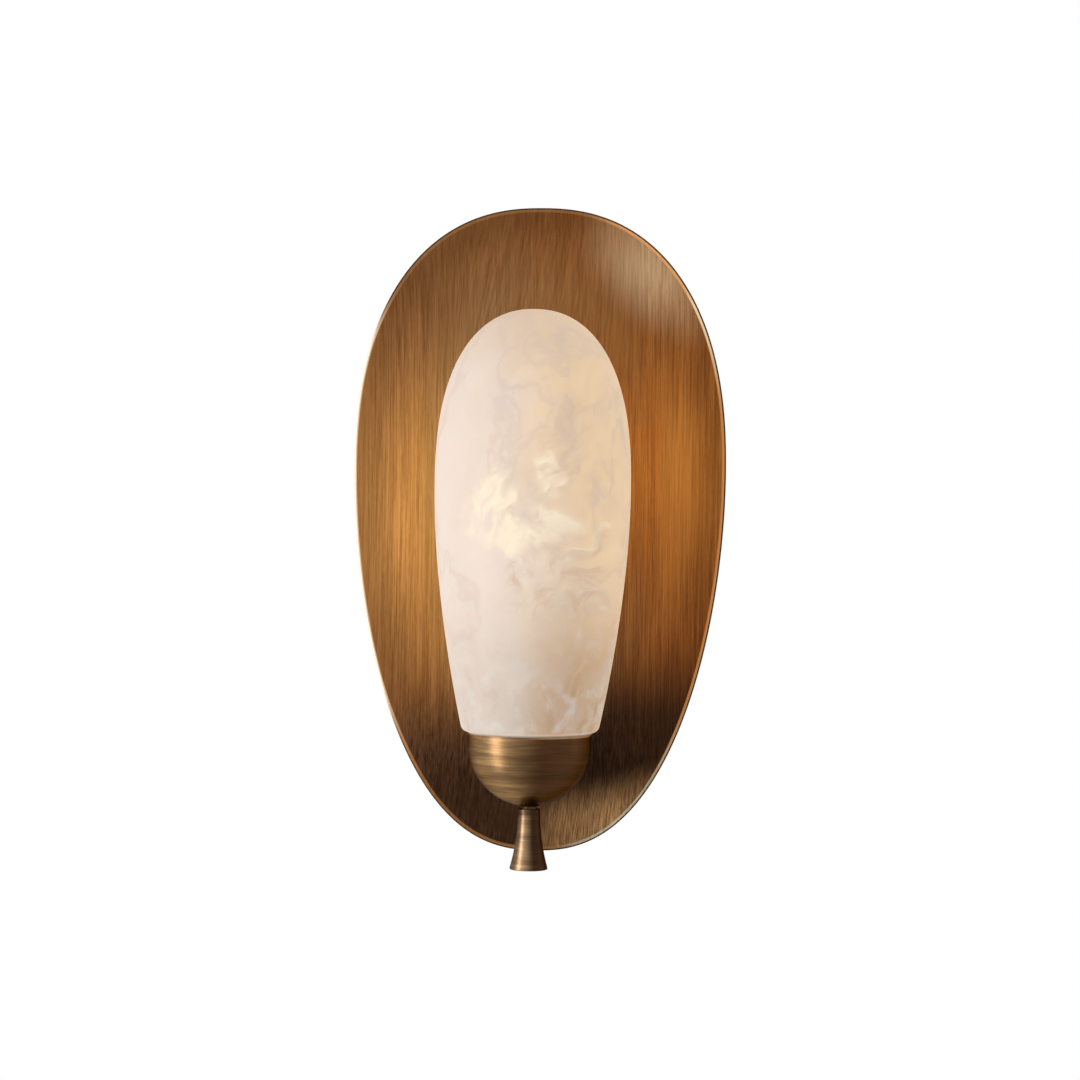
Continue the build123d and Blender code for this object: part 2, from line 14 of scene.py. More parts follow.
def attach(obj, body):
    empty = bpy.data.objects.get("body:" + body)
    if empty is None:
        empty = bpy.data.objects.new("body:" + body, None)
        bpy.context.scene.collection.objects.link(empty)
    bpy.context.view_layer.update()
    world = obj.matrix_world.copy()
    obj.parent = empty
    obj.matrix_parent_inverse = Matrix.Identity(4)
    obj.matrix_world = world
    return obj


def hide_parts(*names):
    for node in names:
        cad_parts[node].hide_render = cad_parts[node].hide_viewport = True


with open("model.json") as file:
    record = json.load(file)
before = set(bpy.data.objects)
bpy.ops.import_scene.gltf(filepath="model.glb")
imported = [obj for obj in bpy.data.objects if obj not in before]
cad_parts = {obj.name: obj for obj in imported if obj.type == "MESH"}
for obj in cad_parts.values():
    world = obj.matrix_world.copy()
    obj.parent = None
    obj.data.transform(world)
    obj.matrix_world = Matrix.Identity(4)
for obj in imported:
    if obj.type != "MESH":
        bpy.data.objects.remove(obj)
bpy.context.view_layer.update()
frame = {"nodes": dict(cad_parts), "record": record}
nodes = frame["nodes"]
print("pieces in the frame:", len(nodes))

# %% [markdown]
# ## Writing nodes as sums
# A material or a geometry tree is a net of nodes, and most of them do plain arithmetic. Wiring each one
# by hand hides the idea, so one small class wraps a socket and lets Python's own operators add the Math
# nodes. Everything that is not arithmetic comes from one function, which takes the node's type, its
# settings and the values or links of its sockets.


# %% A socket that can be added, multiplied and shaped
class Wire:
    """One output socket of a tree. Arithmetic on it adds Math nodes to that tree."""

    def __init__(self, tree, socket):
        self.tree = tree
        self.socket = socket

    def math(self, operation, *others):
        return add(self.tree, "ShaderNodeMath", {"operation": operation}, dict(enumerate((self, *others))))

    def __add__(self, other):
        return self.math("ADD", other)

    def __sub__(self, other):
        return self.math("SUBTRACT", other)

    def __rsub__(self, other):
        return add(self.tree, "ShaderNodeMath", {"operation": "SUBTRACT"}, {0: other, 1: self})

    def __mul__(self, other):
        return self.math("MULTIPLY", other)

    def __truediv__(self, other):
        return self.math("DIVIDE", other)

    def __rtruediv__(self, other):
        return add(self.tree, "ShaderNodeMath", {"operation": "DIVIDE"}, {0: other, 1: self})

    def __pow__(self, other):
        return self.math("POWER", other)

    def __gt__(self, other):
        return self.math("GREATER_THAN", other)

    def __abs__(self):
        return self.math("ABSOLUTE")

    __radd__ = __add__
    __rmul__ = __mul__

    def other(self, name):
        """Another output of the same node."""
        return Wire(self.tree, self.socket.node.outputs[name])

    def rise(self, low, high):
        """0 below low, 1 above high, and a smooth step between them. With low above high it falls."""
        ends = {"Value": self, "From Min": low, "From Max": high}
        return add(self.tree, "ShaderNodeMapRange", {"interpolation_type": "SMOOTHSTEP"}, ends)

    def mix(self, none, full):
        """A colour between two others, with this value as the share of the second."""
        return add(self.tree, "ShaderNodeMix", {"data_type": "RGBA"}, {0: self, 6: none, 7: full}, 2)

    def scaled(self, amount):
        """A colour or vector times a value."""
        return add(self.tree, "ShaderNodeVectorMath", {"operation": "SCALE"}, {0: self, "Scale": amount})


# %% One function for every other node
def add(tree, kind, settings=None, inputs=None, out=0):
    """Adds a node, gives it its settings and its sockets' values or links, and returns one output."""
    node = tree.nodes.new(kind)
    for key, value in (settings or {}).items():
        setattr(node, key, value)
    for key, value in (inputs or {}).items():
        if isinstance(value, Wire):
            tree.links.new(value.socket, node.inputs[key])
        else:
            socket = node.inputs[key]
            socket.default_value = (*value, 1) if socket.type == "RGBA" else value
    return Wire(tree, node.outputs[out]) if node.outputs else node


def split(tree, vector):
    """The X, Y and Z of a vector, as three wires."""
    x = add(tree, "ShaderNodeSeparateXYZ", {}, {0: vector}, "X")
    return x, x.other("Y"), x.other("Z")


def joined(tree, x, y, z):
    """A vector from three values."""
    return add(tree, "ShaderNodeCombineXYZ", {}, {"X": x, "Y": y, "Z": z})


# %% [markdown]
# ## The camera
# The photograph was taken from nearly straight in front, a few degrees to the right of the middle, and
# level with the shield's centre. The cup hangs nearer to the lens than the shield does, and how far it
# moves against the shield gives the distance. A long lens at 1.9 m keeps the egg outline true.

# %% Camera
camera_distance = 1.9
camera_lens = 90.5
camera_sensor = 36
camera_side = math.radians(3.5)
camera_tilt = math.radians(-0.223)
camera_roll = math.radians(0.65)
aim = (0.001, -0.042, 0)

camera_data = bpy.data.cameras.new("camera")
camera_data.lens = camera_lens
camera_data.sensor_width = camera_sensor
camera = bpy.data.objects.new("camera", camera_data)
bpy.context.scene.collection.objects.link(camera)
bpy.context.scene.camera = camera
turn = Matrix.Rotation(camera_side, 4, "Z")
back = Matrix.Translation((0, -camera_distance - aim[1], 0))
upright = Matrix.Rotation(math.radians(90) + camera_tilt, 4, "X") @ Matrix.Rotation(camera_roll, 4, "Z")
camera.matrix_world = Matrix.Translation(aim) @ turn @ back @ upright
print("camera at", [round(c, 3) for c in camera.matrix_world.translation])

# %% [markdown]
# ## Pieces that follow a rule
# A spun cup, a turned finial and a carved shade are one outline carried round an axis, and the pressed
# shield is one cross-section carried round an egg. So both come from the same idea in Geometry Nodes: a
# grid has one row for each point of the section and one column for each step around, and each point is
# moved to where the rule puts it. The section is a small mesh of points, read by row number, so every
# corner stays where it was drawn. Modelling by hand could do it too, but here each size stays a number.


# %% A geometry tree with named inputs
def new_tree(name, inputs):
    """Starts a geometry tree and returns it with its inputs as wires."""
    tree = bpy.data.node_groups.new(name, "GeometryNodeTree")
    tree.interface.new_socket("Geometry", in_out="OUTPUT", socket_type="NodeSocketGeometry")
    for label, kind in inputs.items():
        tree.interface.new_socket(label, in_out="INPUT", socket_type="NodeSocket" + kind)
    start = tree.nodes.new("NodeGroupInput")
    return tree, {label: Wire(tree, start.outputs[label]) for label in inputs}


def end_tree(tree, shape, finish):
    """Turns instances into real mesh, gives it its material, and ends the tree."""
    real = add(tree, "GeometryNodeRealizeInstances", {}, {0: shape})
    dressed = add(tree, "GeometryNodeSetMaterial", {}, {"Geometry": real, "Material": finish})
    tree.links.new(dressed.socket, tree.nodes.new("NodeGroupOutput").inputs[0])


# %% The part both rules share: a grid whose rows read a section
section_inputs = {"Section": "Object", "Rows": "Int", "Around": "Int", "Finish": "Material"}
merge_distance = 0.000005
sharp_angle = math.radians(35)


def section_grid(tree, wires):
    """A grid, the turn of each column in radians, and the section point of each row as a vector."""
    columns = wires["Around"] + 1
    grid = add(tree, "GeometryNodeMeshGrid", {}, {0: 1.0, 1: 1.0, 2: columns, 3: wires["Rows"]})
    spot = add(tree, "GeometryNodeInputPosition")
    column_share, row_share, _ = split(tree, spot)
    turn = (column_share + 0.5) * math.tau
    row = ((row_share + 0.5) * (wires["Rows"] - 1)).math("ROUND")
    section = add(tree, "GeometryNodeObjectInfo", {}, {"Object": wires["Section"]}, "Geometry")
    wanted = {0: section, "Value": spot, "Index": row}
    point = add(tree, "GeometryNodeSampleIndex", {"data_type": "FLOAT_VECTOR"}, wanted)
    return grid, turn, point


def finish_grid(tree, grid, position, wires):
    """Moves the grid, joins its seam and poles, and keeps only real corners sharp."""
    moved = add(tree, "GeometryNodeSetPosition", {}, {"Geometry": grid, "Position": position})
    joined = add(tree, "GeometryNodeMergeByDistance", {}, {"Geometry": moved, "Distance": merge_distance})
    corner = add(tree, "GeometryNodeInputMeshEdgeAngle") > sharp_angle
    smooth = add(tree, "GeometryNodeSetShadeSmooth", {"domain": "FACE"}, {"Geometry": joined})
    sharp = {"Geometry": smooth, "Selection": corner, "Shade Smooth": False}
    end_tree(tree, add(tree, "GeometryNodeSetShadeSmooth", {"domain": "EDGE"}, sharp), wires["Finish"])


# %% Rule one: a section turned about an upright axis, with an optional screw thread
turned_tree, w = new_tree(
    "turned_piece", {**section_inputs, "Reach": "Float", "Thread pitch": "Float", "Thread depth": "Float"}
)
grid, turn, point = section_grid(turned_tree, w)
radius, threaded, level = split(turned_tree, point)
wave = ((level / w["Thread pitch"]) * math.tau - turn).math("SINE")
radius = radius + wave * w["Thread depth"] * threaded
across, ahead = radius * turn.math("COSINE"), radius * turn.math("SINE") - w["Reach"]
finish_grid(turned_tree, grid, joined(turned_tree, across, ahead, level), w)
print("turned_piece tree has", len(turned_tree.nodes), "nodes")


# %% Run a tree and keep its result as a plain mesh
def make(name, tree, section, values, finish, body, replaces):
    """Builds one piece from a section, checks that it faces outwards, hangs it on its body and hides the piece
    it replaces.
    """
    points = bpy.data.meshes.new(name + "_section")
    points.from_pydata([(first / 1000, share, last / 1000) for first, share, last in section], [], [])
    outline = bpy.data.objects.new(name + "_section", points)
    maker = bpy.data.objects.new(name + "_maker", bpy.data.meshes.new(name + "_maker"))
    bpy.context.scene.collection.objects.link(outline)
    bpy.context.scene.collection.objects.link(maker)
    modifier = maker.modifiers.new("rule", "NODES")
    modifier.node_group = tree
    values = {**values, "Section": outline, "Rows": len(section), "Finish": finish}
    for item in tree.interface.items_tree:
        if item.name in values:
            modifier[item.identifier] = values[item.name]
    maker.update_tag()
    done = maker.evaluated_get(bpy.context.evaluated_depsgraph_get())
    mesh = bpy.data.meshes.new_from_object(done)
    mesh.materials.clear()
    mesh.materials.append(finish)
    mesh.polygons.foreach_set("material_index", [0] * len(mesh.polygons))
    for helper in (maker, outline):
        bpy.data.objects.remove(helper)
    piece = bpy.data.objects.new(name, mesh)
    bpy.context.scene.collection.objects.link(piece)
    face_out(mesh)
    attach(piece, body)
    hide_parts(replaces)
    print(name, "faces:", len(mesh.polygons), "open edges:", open_edges(mesh))
    return piece


def face_out(mesh):
    """Turns the faces round if the shape is inside out."""
    shape = bmesh.new()
    shape.from_mesh(mesh)
    if shape.calc_volume(signed=True) < 0:
        bmesh.ops.reverse_faces(shape, faces=shape.faces)
        shape.to_mesh(mesh)
    shape.free()


def open_edges(mesh):
    shape = bmesh.new()
    shape.from_mesh(mesh)
    count = sum(1 for edge in shape.edges if len(edge.link_faces) != 2)
    shape.free()
    return count


# %% [markdown]
# ## The shield
# The real one is a sheet pressed into a dish: a flat floor behind the lamp, then a flare that comes
# forward to a rounded rim. Its outline is two halves of superellipses that meet at the widest level. The
# section runs from the middle of the front, over the rim, to the middle of the back. Two attributes go
# with it, the distance from the rim and the row, so that the finish can follow the edge.

# %% Rule two: a section carried round the egg
egg_sizes = {"Half width": 127.5, "Widest": 40.0, "Rise": 180.0, "Fall": 260.0}
upper_powers, lower_powers = (2.32, 2.34), (2.4, 1.9)

egg_tree, w = new_tree("pressed_shield", {**section_inputs, **dict.fromkeys(egg_sizes, "Float")})
grid, turn, point = section_grid(egg_tree, w)
inset, shrink, depth = split(egg_tree, point)
upper = turn.math("SINE") > 0.0


def rounded(wave, upper_power, lower_power):
    """A cosine or sine bent into a superellipse, with one power above the widest level and one below."""
    bent = 2 / lower_power + (2 / upper_power - 2 / lower_power) * upper
    return wave.math("SIGN") * abs(wave) ** bent


across = rounded(turn.math("COSINE"), upper_powers[0], lower_powers[0])
up = rounded(turn.math("SINE"), upper_powers[1], lower_powers[1])
height = w["Fall"] + (w["Rise"] - w["Fall"]) * upper - inset
spot = joined(egg_tree, across * (w["Half width"] - inset) * shrink, depth, w["Widest"] + up * height * shrink)
row = split(egg_tree, add(egg_tree, "GeometryNodeInputPosition"))[1] + 0.5
for label, value in {"inset": inset, "row_share": row}.items():
    kept = {"Geometry": grid, "Name": label, "Value": value}
    grid = add(egg_tree, "GeometryNodeStoreNamedAttribute", {"data_type": "FLOAT", "domain": "POINT"}, kept)
finish_grid(egg_tree, grid, spot, w)
print("pressed_shield tree has", len(egg_tree.nodes), "nodes")

# %% The shield's section
flare_width, flare_depth, flare_power, flare_steps = 56.0, 20.0, 1.8, 24
floor_front, floor_back = -22.0, -20.0
sheet = floor_back - floor_front
rim_steps = 12


def flare(depth, share):
    """A point of the flare, by its share of the way from the floor to the rim."""
    return (flare_width * (1 - share), 1, depth - flare_depth * share**flare_power)


slope = math.atan(flare_depth * flare_power / flare_width)
rim_radius = sheet / 2 * math.cos(slope)
last_share = 1 - rim_radius / flare_width
rim_centre = flare((floor_front + floor_back) / 2, last_share)
front_side = [(flare_width, share, floor_front) for share in (0, 0.2, 0.4, 0.6, 0.8)]
front_side += [flare(floor_front, last_share * step / flare_steps) for step in range(flare_steps)]
back_side = [(first, share, last + sheet) for first, share, last in reversed(front_side)]
rim = []
for step in range(rim_steps + 1):
    lean = math.radians(180 * step / rim_steps) - slope
    rim.append((rim_centre[0] - rim_radius * math.sin(lean), 1, rim_centre[2] - rim_radius * math.cos(lean)))
shield_section = front_side + rim + back_side
print("shield section:", len(shield_section), "points, rim radius", round(rim_radius, 2), "mm")

# %% [markdown]
# ## Brushed and turned brass
# Aged brass is bright metal under a brown patina, rubbed back along the strokes of the brush. So a brass
# here is two colours, patina and rubbed metal, with long thin noise between them, and the same noise
# changes roughness and bumps the surface. The noise reads Object coordinates, squeezed across the strokes:
# upright strokes are long in Z, and lines from a lathe are long around the axis and thin in Z. A picture of
# brass could be laid on instead, but it would need an unwrapped mesh, and it would repeat.


# %% A new material with its shader
def new_finish(name):
    """An empty material with its tree, Object coordinates, and X, Y and Z as wires."""
    material = bpy.data.materials.new(name)
    material.use_nodes = True
    tree = material.node_tree
    tree.nodes.clear()
    place = add(tree, "ShaderNodeTexCoord", out="Object")
    return material, tree, place, *split(tree, place)


def end_finish(tree, sockets):
    """Adds the shader with these sockets and ends the material."""
    shader = add(tree, "ShaderNodeBsdfPrincipled", {}, sockets)
    tree.links.new(shader.socket, tree.nodes.new("ShaderNodeOutputMaterial").inputs["Surface"])


def noise(tree, place, scale, detail=3.0, wobble=0.0, roughness=0.55):
    """Noise between 0 and 1 on coordinates stretched by a scale per metre."""
    squeezed = add(tree, "ShaderNodeMapping", {}, {"Vector": place, "Scale": scale})
    sizes = {"Vector": squeezed, "Scale": 1.0, "Detail": detail, "Distortion": wobble, "Roughness": roughness}
    return add(tree, "ShaderNodeTexNoise", {}, sizes, "Fac")


def bumped(tree, height, strength, distance):
    return add(tree, "ShaderNodeBump", {}, {"Strength": strength, "Distance": distance, "Height": height})


# %% [markdown]
# ## The shield's brass
# The dish is brushed in two layers: upright strokes all over, and at the top and the foot a second layer
# that leans with the curve of the rim. Both are the same noise, on coordinates shifted by different
# amounts, and the height gives the share of each. The colour is laid on in zones: brown patina; a bright
# ring beside the lamp, golden at the left and russet at the right, that is a painted glow of the lit stone,
# with a painted sheen in the flare; a pale patch at the upper right that is a painted reflection of the soft
# light; a foot darkened by painted shade, with a painted highlight at its right; painted shade near the rim
# at the top; and last a thin painted highlight along the rim, with a thin line of painted shade outside it.
# The inset attribute says how far a point is from the rim. The row says where the front ends, and the back
# is plain brass with little contrast, because strong strokes there look like wood.


# %% The strokes of the brush
def brush_strokes(tree, x, y, z):
    """Upright strokes, with leaning ones at the top and the foot, from 0 for patina to 1 for rubbed."""
    fan = x.rise(-0.09, -0.02) * x.rise(0.075, 0.02)
    top, foot = (z - 0.1).math("MAXIMUM", 0.0), (z + 0.15).math("MINIMUM", 0.0)
    speckled = z.rise(-0.1, -0.17) * 0.5 + 0.18
    layers = []
    for shift in (0.0, top * fan * -0.2 + foot * -0.12):
        ground = joined(tree, x + shift, y, z + shift * 9)
        fine = noise(tree, ground, (1500, 90, 20), 2.0)
        broad = noise(tree, ground, (600, 60, 11), 3.0)
        short = noise(tree, ground, (1300, 60, 130), 2.0)
        layers.append((fine * 0.5 + broad * 0.5) * (1 - speckled) + short * speckled)
    leaning = z.rise(0.1, 0.13) * 0.5 + z.rise(-0.15, -0.18) * 0.5
    return (layers[0] * (1 - leaning) + layers[1] * leaning).rise(0.33, 0.67)


# %% The zones of the dish
def dish_colour(tree, place, x, z, stroke, inset):
    """Patina, a painted glow beside the lamp, a painted reflection, and painted shade at the foot. Lengths are
    in metres.
    """
    cloud = noise(tree, place, (24, 24, 10), 3.0, 0.6)
    side = x.rise(-0.05, 0.05)
    near = inset.rise(0.0, 0.05)
    patina = side.mix((0.155, 0.071, 0.025), (0.15, 0.057, 0.017))
    rubbed = side.mix((0.35, 0.177, 0.069), (0.32, 0.138, 0.042))
    brass = stroke.mix(patina, rubbed)

    # Painted glow of the lit stone on the brass beside it, golden at the left and russet at the right.
    golden_rim = stroke.mix((0.35, 0.195, 0.066), (0.65, 0.42, 0.16))
    golden_floor = stroke.mix((0.37, 0.175, 0.046), (0.65, 0.355, 0.105))
    russet_rim = stroke.mix((0.28, 0.13, 0.034), (0.50, 0.26, 0.072))
    russet_floor = stroke.mix((0.33, 0.114, 0.019), (0.60, 0.22, 0.04))
    painted_glow_colour = side.mix(near.mix(golden_rim, golden_floor), near.mix(russet_rim, russet_floor))
    beside_lamp = z.rise(0.165, 0.0) * (z - side * 0.065).rise(-0.15, 0.01)
    painted_glow = beside_lamp * (0.66 + side * 0.24 + near * (1 - side * 0.6) * 0.34)
    brass = painted_glow.mix(brass, painted_glow_colour)
    # A painted sheen in the middle of the flare, within the glow.
    painted_sheen = inset.rise(0.01, 0.03) * inset.rise(0.052, 0.036) * z.rise(-0.14, -0.06) * z.rise(0.15, 0.06)
    brass = (painted_sheen * painted_glow * side * 0.4).mix(brass, (0.5, 0.31, 0.08))
    margin = inset.rise(0.014, 0.002) * (1 - side) * 0.3
    brass = margin.mix(brass, rubbed)

    # A painted reflection of the soft light: a pale patch at the upper right.
    along, across = (x - z + 0.104) * 0.71, (x + z - 0.252) * 0.71
    pale = (((along / 1.8) ** 2 + across**2) ** 0.5).rise(0.04, 0.0)
    brass = (pale * (0.5 + stroke * 0.5)).mix(brass, (0.50, 0.38, 0.24))
    # Painted shade on the foot, less dark at the left.
    left_foot = stroke.mix((0.06, 0.034, 0.02), (0.20, 0.11, 0.06))
    right_foot = stroke.mix((0.03, 0.015, 0.009), (0.075, 0.04, 0.022))
    painted_shade_below = (z + 0.01 - side * 0.03).rise(-0.09, -0.152)
    brass = painted_shade_below.mix(brass, side.mix(left_foot, right_foot))
    # A painted highlight: a bright place at the lower right of the foot.
    painted_highlight = (z + inset * 0.5).rise(-0.15, -0.198) * x.rise(-0.015, 0.02) * (0.3 + stroke * 0.7)
    brass = painted_highlight.mix(brass, (0.85, 0.50, 0.22))
    # Painted shade near the rim at the top.
    shaded_rim = inset.rise(0.03, 0.0) * z.rise(0.1, 0.18) * x.rise(0.05, 0.02) * 0.3
    return brass.scaled((0.87 + cloud * 0.28) * (1 + painted_sheen * 0.24) * (1 - shaded_rim))


# %% The rim's line, the back and the finished brass
def shield_finish():
    """The dish, a thin painted highlight along its rim, and a plain back."""
    material, tree, place, x, y, z = new_finish("antique_brass")
    inset = add(tree, "ShaderNodeAttribute", {"attribute_name": "inset"}, out="Fac")
    row = add(tree, "ShaderNodeAttribute", {"attribute_name": "row_share"}, out="Fac")
    stroke = brush_strokes(tree, x, y, z)
    brass = dish_colour(tree, place, x, z, stroke, inset)

    # Painted highlight: a thin bright line along the rim, pale at the left, dimmer elsewhere, whiter at the
    # lower and upper right.
    dull = x.rise(-0.06, 0.0).math("MAXIMUM", z.rise(-0.1, -0.16)).math("MAXIMUM", z.rise(0.12, 0.17))
    painted_glint = x.rise(0.01, 0.035) * (z.rise(-0.12, -0.19) + z.rise(0.08, 0.14) * z.rise(0.17, 0.15) * 0.7)
    lip = inset - dull * 0.001 + painted_glint * 0.0002
    faded = z.rise(0.13, 0.17) * x.rise(0.06, 0.03) * 0.75
    edge = lip.rise(-0.0004, 0.0001) * lip.rise(0.0021, 0.0014) * (1 - faded)
    painted_rim_line = dull.mix((0.86, 0.70, 0.52), (0.66, 0.36, 0.15))
    brass = edge.mix(brass, painted_glint.mix(painted_rim_line, (1.0, 0.9, 0.66)))

    # Painted shade: a thin dark line just outside the rim's highlight. The back is plain brass, darker near the
    # rim.
    painted_shade_lip = dull * inset.rise(0.0013, 0.0009)
    outer = row.rise(0.5, 0.54).math("MAXIMUM", painted_shade_lip)
    dark = stroke.mix((0.03, 0.015, 0.009), (0.08, 0.038, 0.017))
    plain = stroke.mix((0.15, 0.085, 0.034), (0.19, 0.11, 0.045))
    brass = outer.mix(brass, inset.rise(0.002, 0.01).mix(dark, plain))
    gloss = {"Metallic": 1.0, "Roughness": 0.34 + stroke * 0.08, "Specular Tint": (0.8, 0.66, 0.5)}
    end_finish(tree, {**gloss, "Base Color": brass, "Normal": bumped(tree, stroke, 0.1, 0.0003)})
    return material


shield = make(
    "brushed_shield", egg_tree, shield_section, {"Around": 288, **{k: v / 1000 for k, v in egg_sizes.items()}},
    shield_finish(), "fixture", "shield_plate",
)
print("shield finish has", len(shield.data.materials[0].node_tree.nodes), "nodes")

# %% [markdown]
# ## Turned, spun and cut brass
# Every other brass piece has one direction of work, given as a noise scale for each axis. The cup and the
# finial also get a painted highlight, a paler colour on one flank. A turned piece has no edge to measure
# from, so the flank is found from the turn about the lamp's axis: the sideways distance over the distance
# from the axis is -1 at the left and 1 at the right. Where a piece meets the next one, painted shade brings
# back its patina colour.

# %% Brass for every other piece
lamp_reach = 0.110


def brass_finish(name, patina, rubbed, strokes, rough=0.3, bump=0.25, painted_highlight_side=None, painted_shade_heights=None):
    """Strokes give the direction of the work: a scale per metre along X, Y and Z.

    The sixth argument is a painted highlight on one flank: a colour, the range of turns where it fades in,
    and the one where it fades again. The last is a range of heights with painted shade, where the patina colour
    comes back.
    """
    material, tree, place, x, y, z = new_finish(name)
    fine = noise(tree, place, strokes, 3.0)
    broad = noise(tree, place, tuple(size * 0.22 for size in strokes), 3.0)
    cloud = noise(tree, place, (34, 34, 34), 3.0, 0.4)
    stroke = (fine * 0.5 + broad * 0.5).rise(0.3, 0.7)
    brass = stroke.mix(patina, rubbed)
    brass = (cloud.rise(0.45, 0.75) * 0.55).mix(brass, patina)
    # A painted highlight: one flank paler, where the soft light at the left would shine.
    if painted_highlight_side:
        colour, fades_in, fades_out = painted_highlight_side
        ahead = y + lamp_reach
        turn = x / (x * x + ahead * ahead) ** 0.5
        painted_highlight = (turn + cloud * 0.2 - 0.1).rise(*fades_in) * (1 - turn.rise(*fades_out) * 0.55)
        brass = (painted_highlight * (0.3 + stroke * 0.7)).mix(brass, colour)
    # Painted shade where the piece meets the next one.
    if painted_shade_heights:
        brass = (z.rise(*painted_shade_heights) * 0.75).mix(brass, patina)
    tint = tuple(0.4 + 0.6 * channel for channel in rubbed)
    sockets = {"Base Color": brass, "Metallic": 1.0, "Roughness": rough + fine * 0.12, "Specular Tint": tint}
    end_finish(tree, {**sockets, "Normal": bumped(tree, stroke, bump, 0.0002)})
    return material

# %% [markdown]
# ## The alabaster shade
# It is one piece of stone, turned outside and hollowed inside to a wall of 8 mm, with a lamp behind it. Its
# outline is part of a superellipse above the widest level and a slow taper below it, down to a rounded
# foot. The same turned tree makes it, from a section that runs down the outside and up the inside.

# %% The sizes of the shade, in millimetres
shade_radius, shade_widest, shade_wall = 64.7, 25.0, 8.0
shade_rise, shade_fall = 120.0, 158.5
shade_taper, taper_power = 19.8, 1.76
crown_powers = (2.24, 2.54)
foot_corner, foot_lean = 5.0, 12.4
shade_foot = shade_widest - shade_fall


# %% The shade's section, from the crown down, under the foot and up again inside
def shade_side(inset, fall):
    """The radius at a fall below the widest level."""
    return shade_radius - inset - shade_taper * (fall / shade_fall) ** taper_power


def crown(inset, steps):
    """Points from the top to the widest level."""
    points = []
    for step in range(steps + 1):
        turn = math.radians(90 - 90 * step / steps)
        first = (shade_radius - inset) * math.cos(turn) ** (2 / crown_powers[0])
        points.append((first, 0, shade_widest + (shade_rise - inset) * math.sin(turn) ** (2 / crown_powers[1])))
    points[0] = (0, 0, points[0][2])
    return points


def bend(centre, radius, start, end, steps):
    """Points on an arc about a centre, from one angle to another in degrees, both ends kept."""
    turns = [math.radians(start + (end - start) * step / steps) for step in range(steps + 1)]
    return [(centre[0] + radius * math.cos(t), 0, centre[1] + radius * math.sin(t)) for t in turns]


def side(inset, lowest_fall, steps):
    """Points from the widest level down."""
    falls = [lowest_fall * step / steps for step in range(1, steps + 1)]
    return [(shade_side(inset, fall), 0, shade_widest - fall) for fall in falls]


foot_middle = shade_side(0, shade_fall - foot_corner) - foot_corner / math.cos(math.radians(foot_lean))
foot = bend((foot_middle, shade_foot + foot_corner), foot_corner, -foot_lean, -90, 8)
outside = crown(0, 40) + side(0, 153.0, 32) + foot
mouth = (shade_side(shade_wall, shade_fall) + 0.4, 0, shade_foot)
inside = crown(shade_wall, 24) + side(shade_wall, 157.9, 24) + [mouth]
shade_section = outside + list(reversed(inside))
print("shade section:", len(shade_section), "points")

# %% [markdown]
# ## Stone that looks stirred
# The bands of alabaster look as if they had been stirred. So the coordinates are stirred first, by slow and
# quick noise, and plain noise on them gives clouds, long veins and thin broken ones. Feathers are noise
# that is squeezed and leaned, and a torn spot is a soft ellipse whose border is bent and flecked. The left
# is even and pinkish, the right creamy and crowded, and the foot mottled. The warmer right is partly the
# stone's own cream and partly a painted glow of the lamp inside, and the crown and the foot are darker with
# painted shade, away from the lamp. The rear is warm and plain, a painted glow, and so is a thin line round
# the foot's lower edge. Light that soaks through the wall comes out of the whole surface, so the stone gets
# a faint light of its own in its own colour. Light scattered in a volume would be truer, but slow, and it
# can't be baked.


# %% Coordinates that are stirred
def stirred(tree, place, scale, reach):
    """Moves each point by up to a reach in metres, in a direction that wanders with a scale per metre."""
    sizes = {"Vector": place, "Scale": scale, "Detail": 3.0}
    wander = add(tree, "ShaderNodeTexNoise", {}, sizes, "Color")
    centred = add(tree, "ShaderNodeVectorMath", {"operation": "SUBTRACT"}, {0: wander, 1: (0.5, 0.5, 0.5)})
    shift = centred.scaled(reach * 2)
    return add(tree, "ShaderNodeVectorMath", {"operation": "ADD"}, {0: place, 1: shift})


def ridge(value, width):
    """A soft line along the places where a noise passes its middle value."""
    return abs(value - 0.5).rise(width, 0.0) ** 2


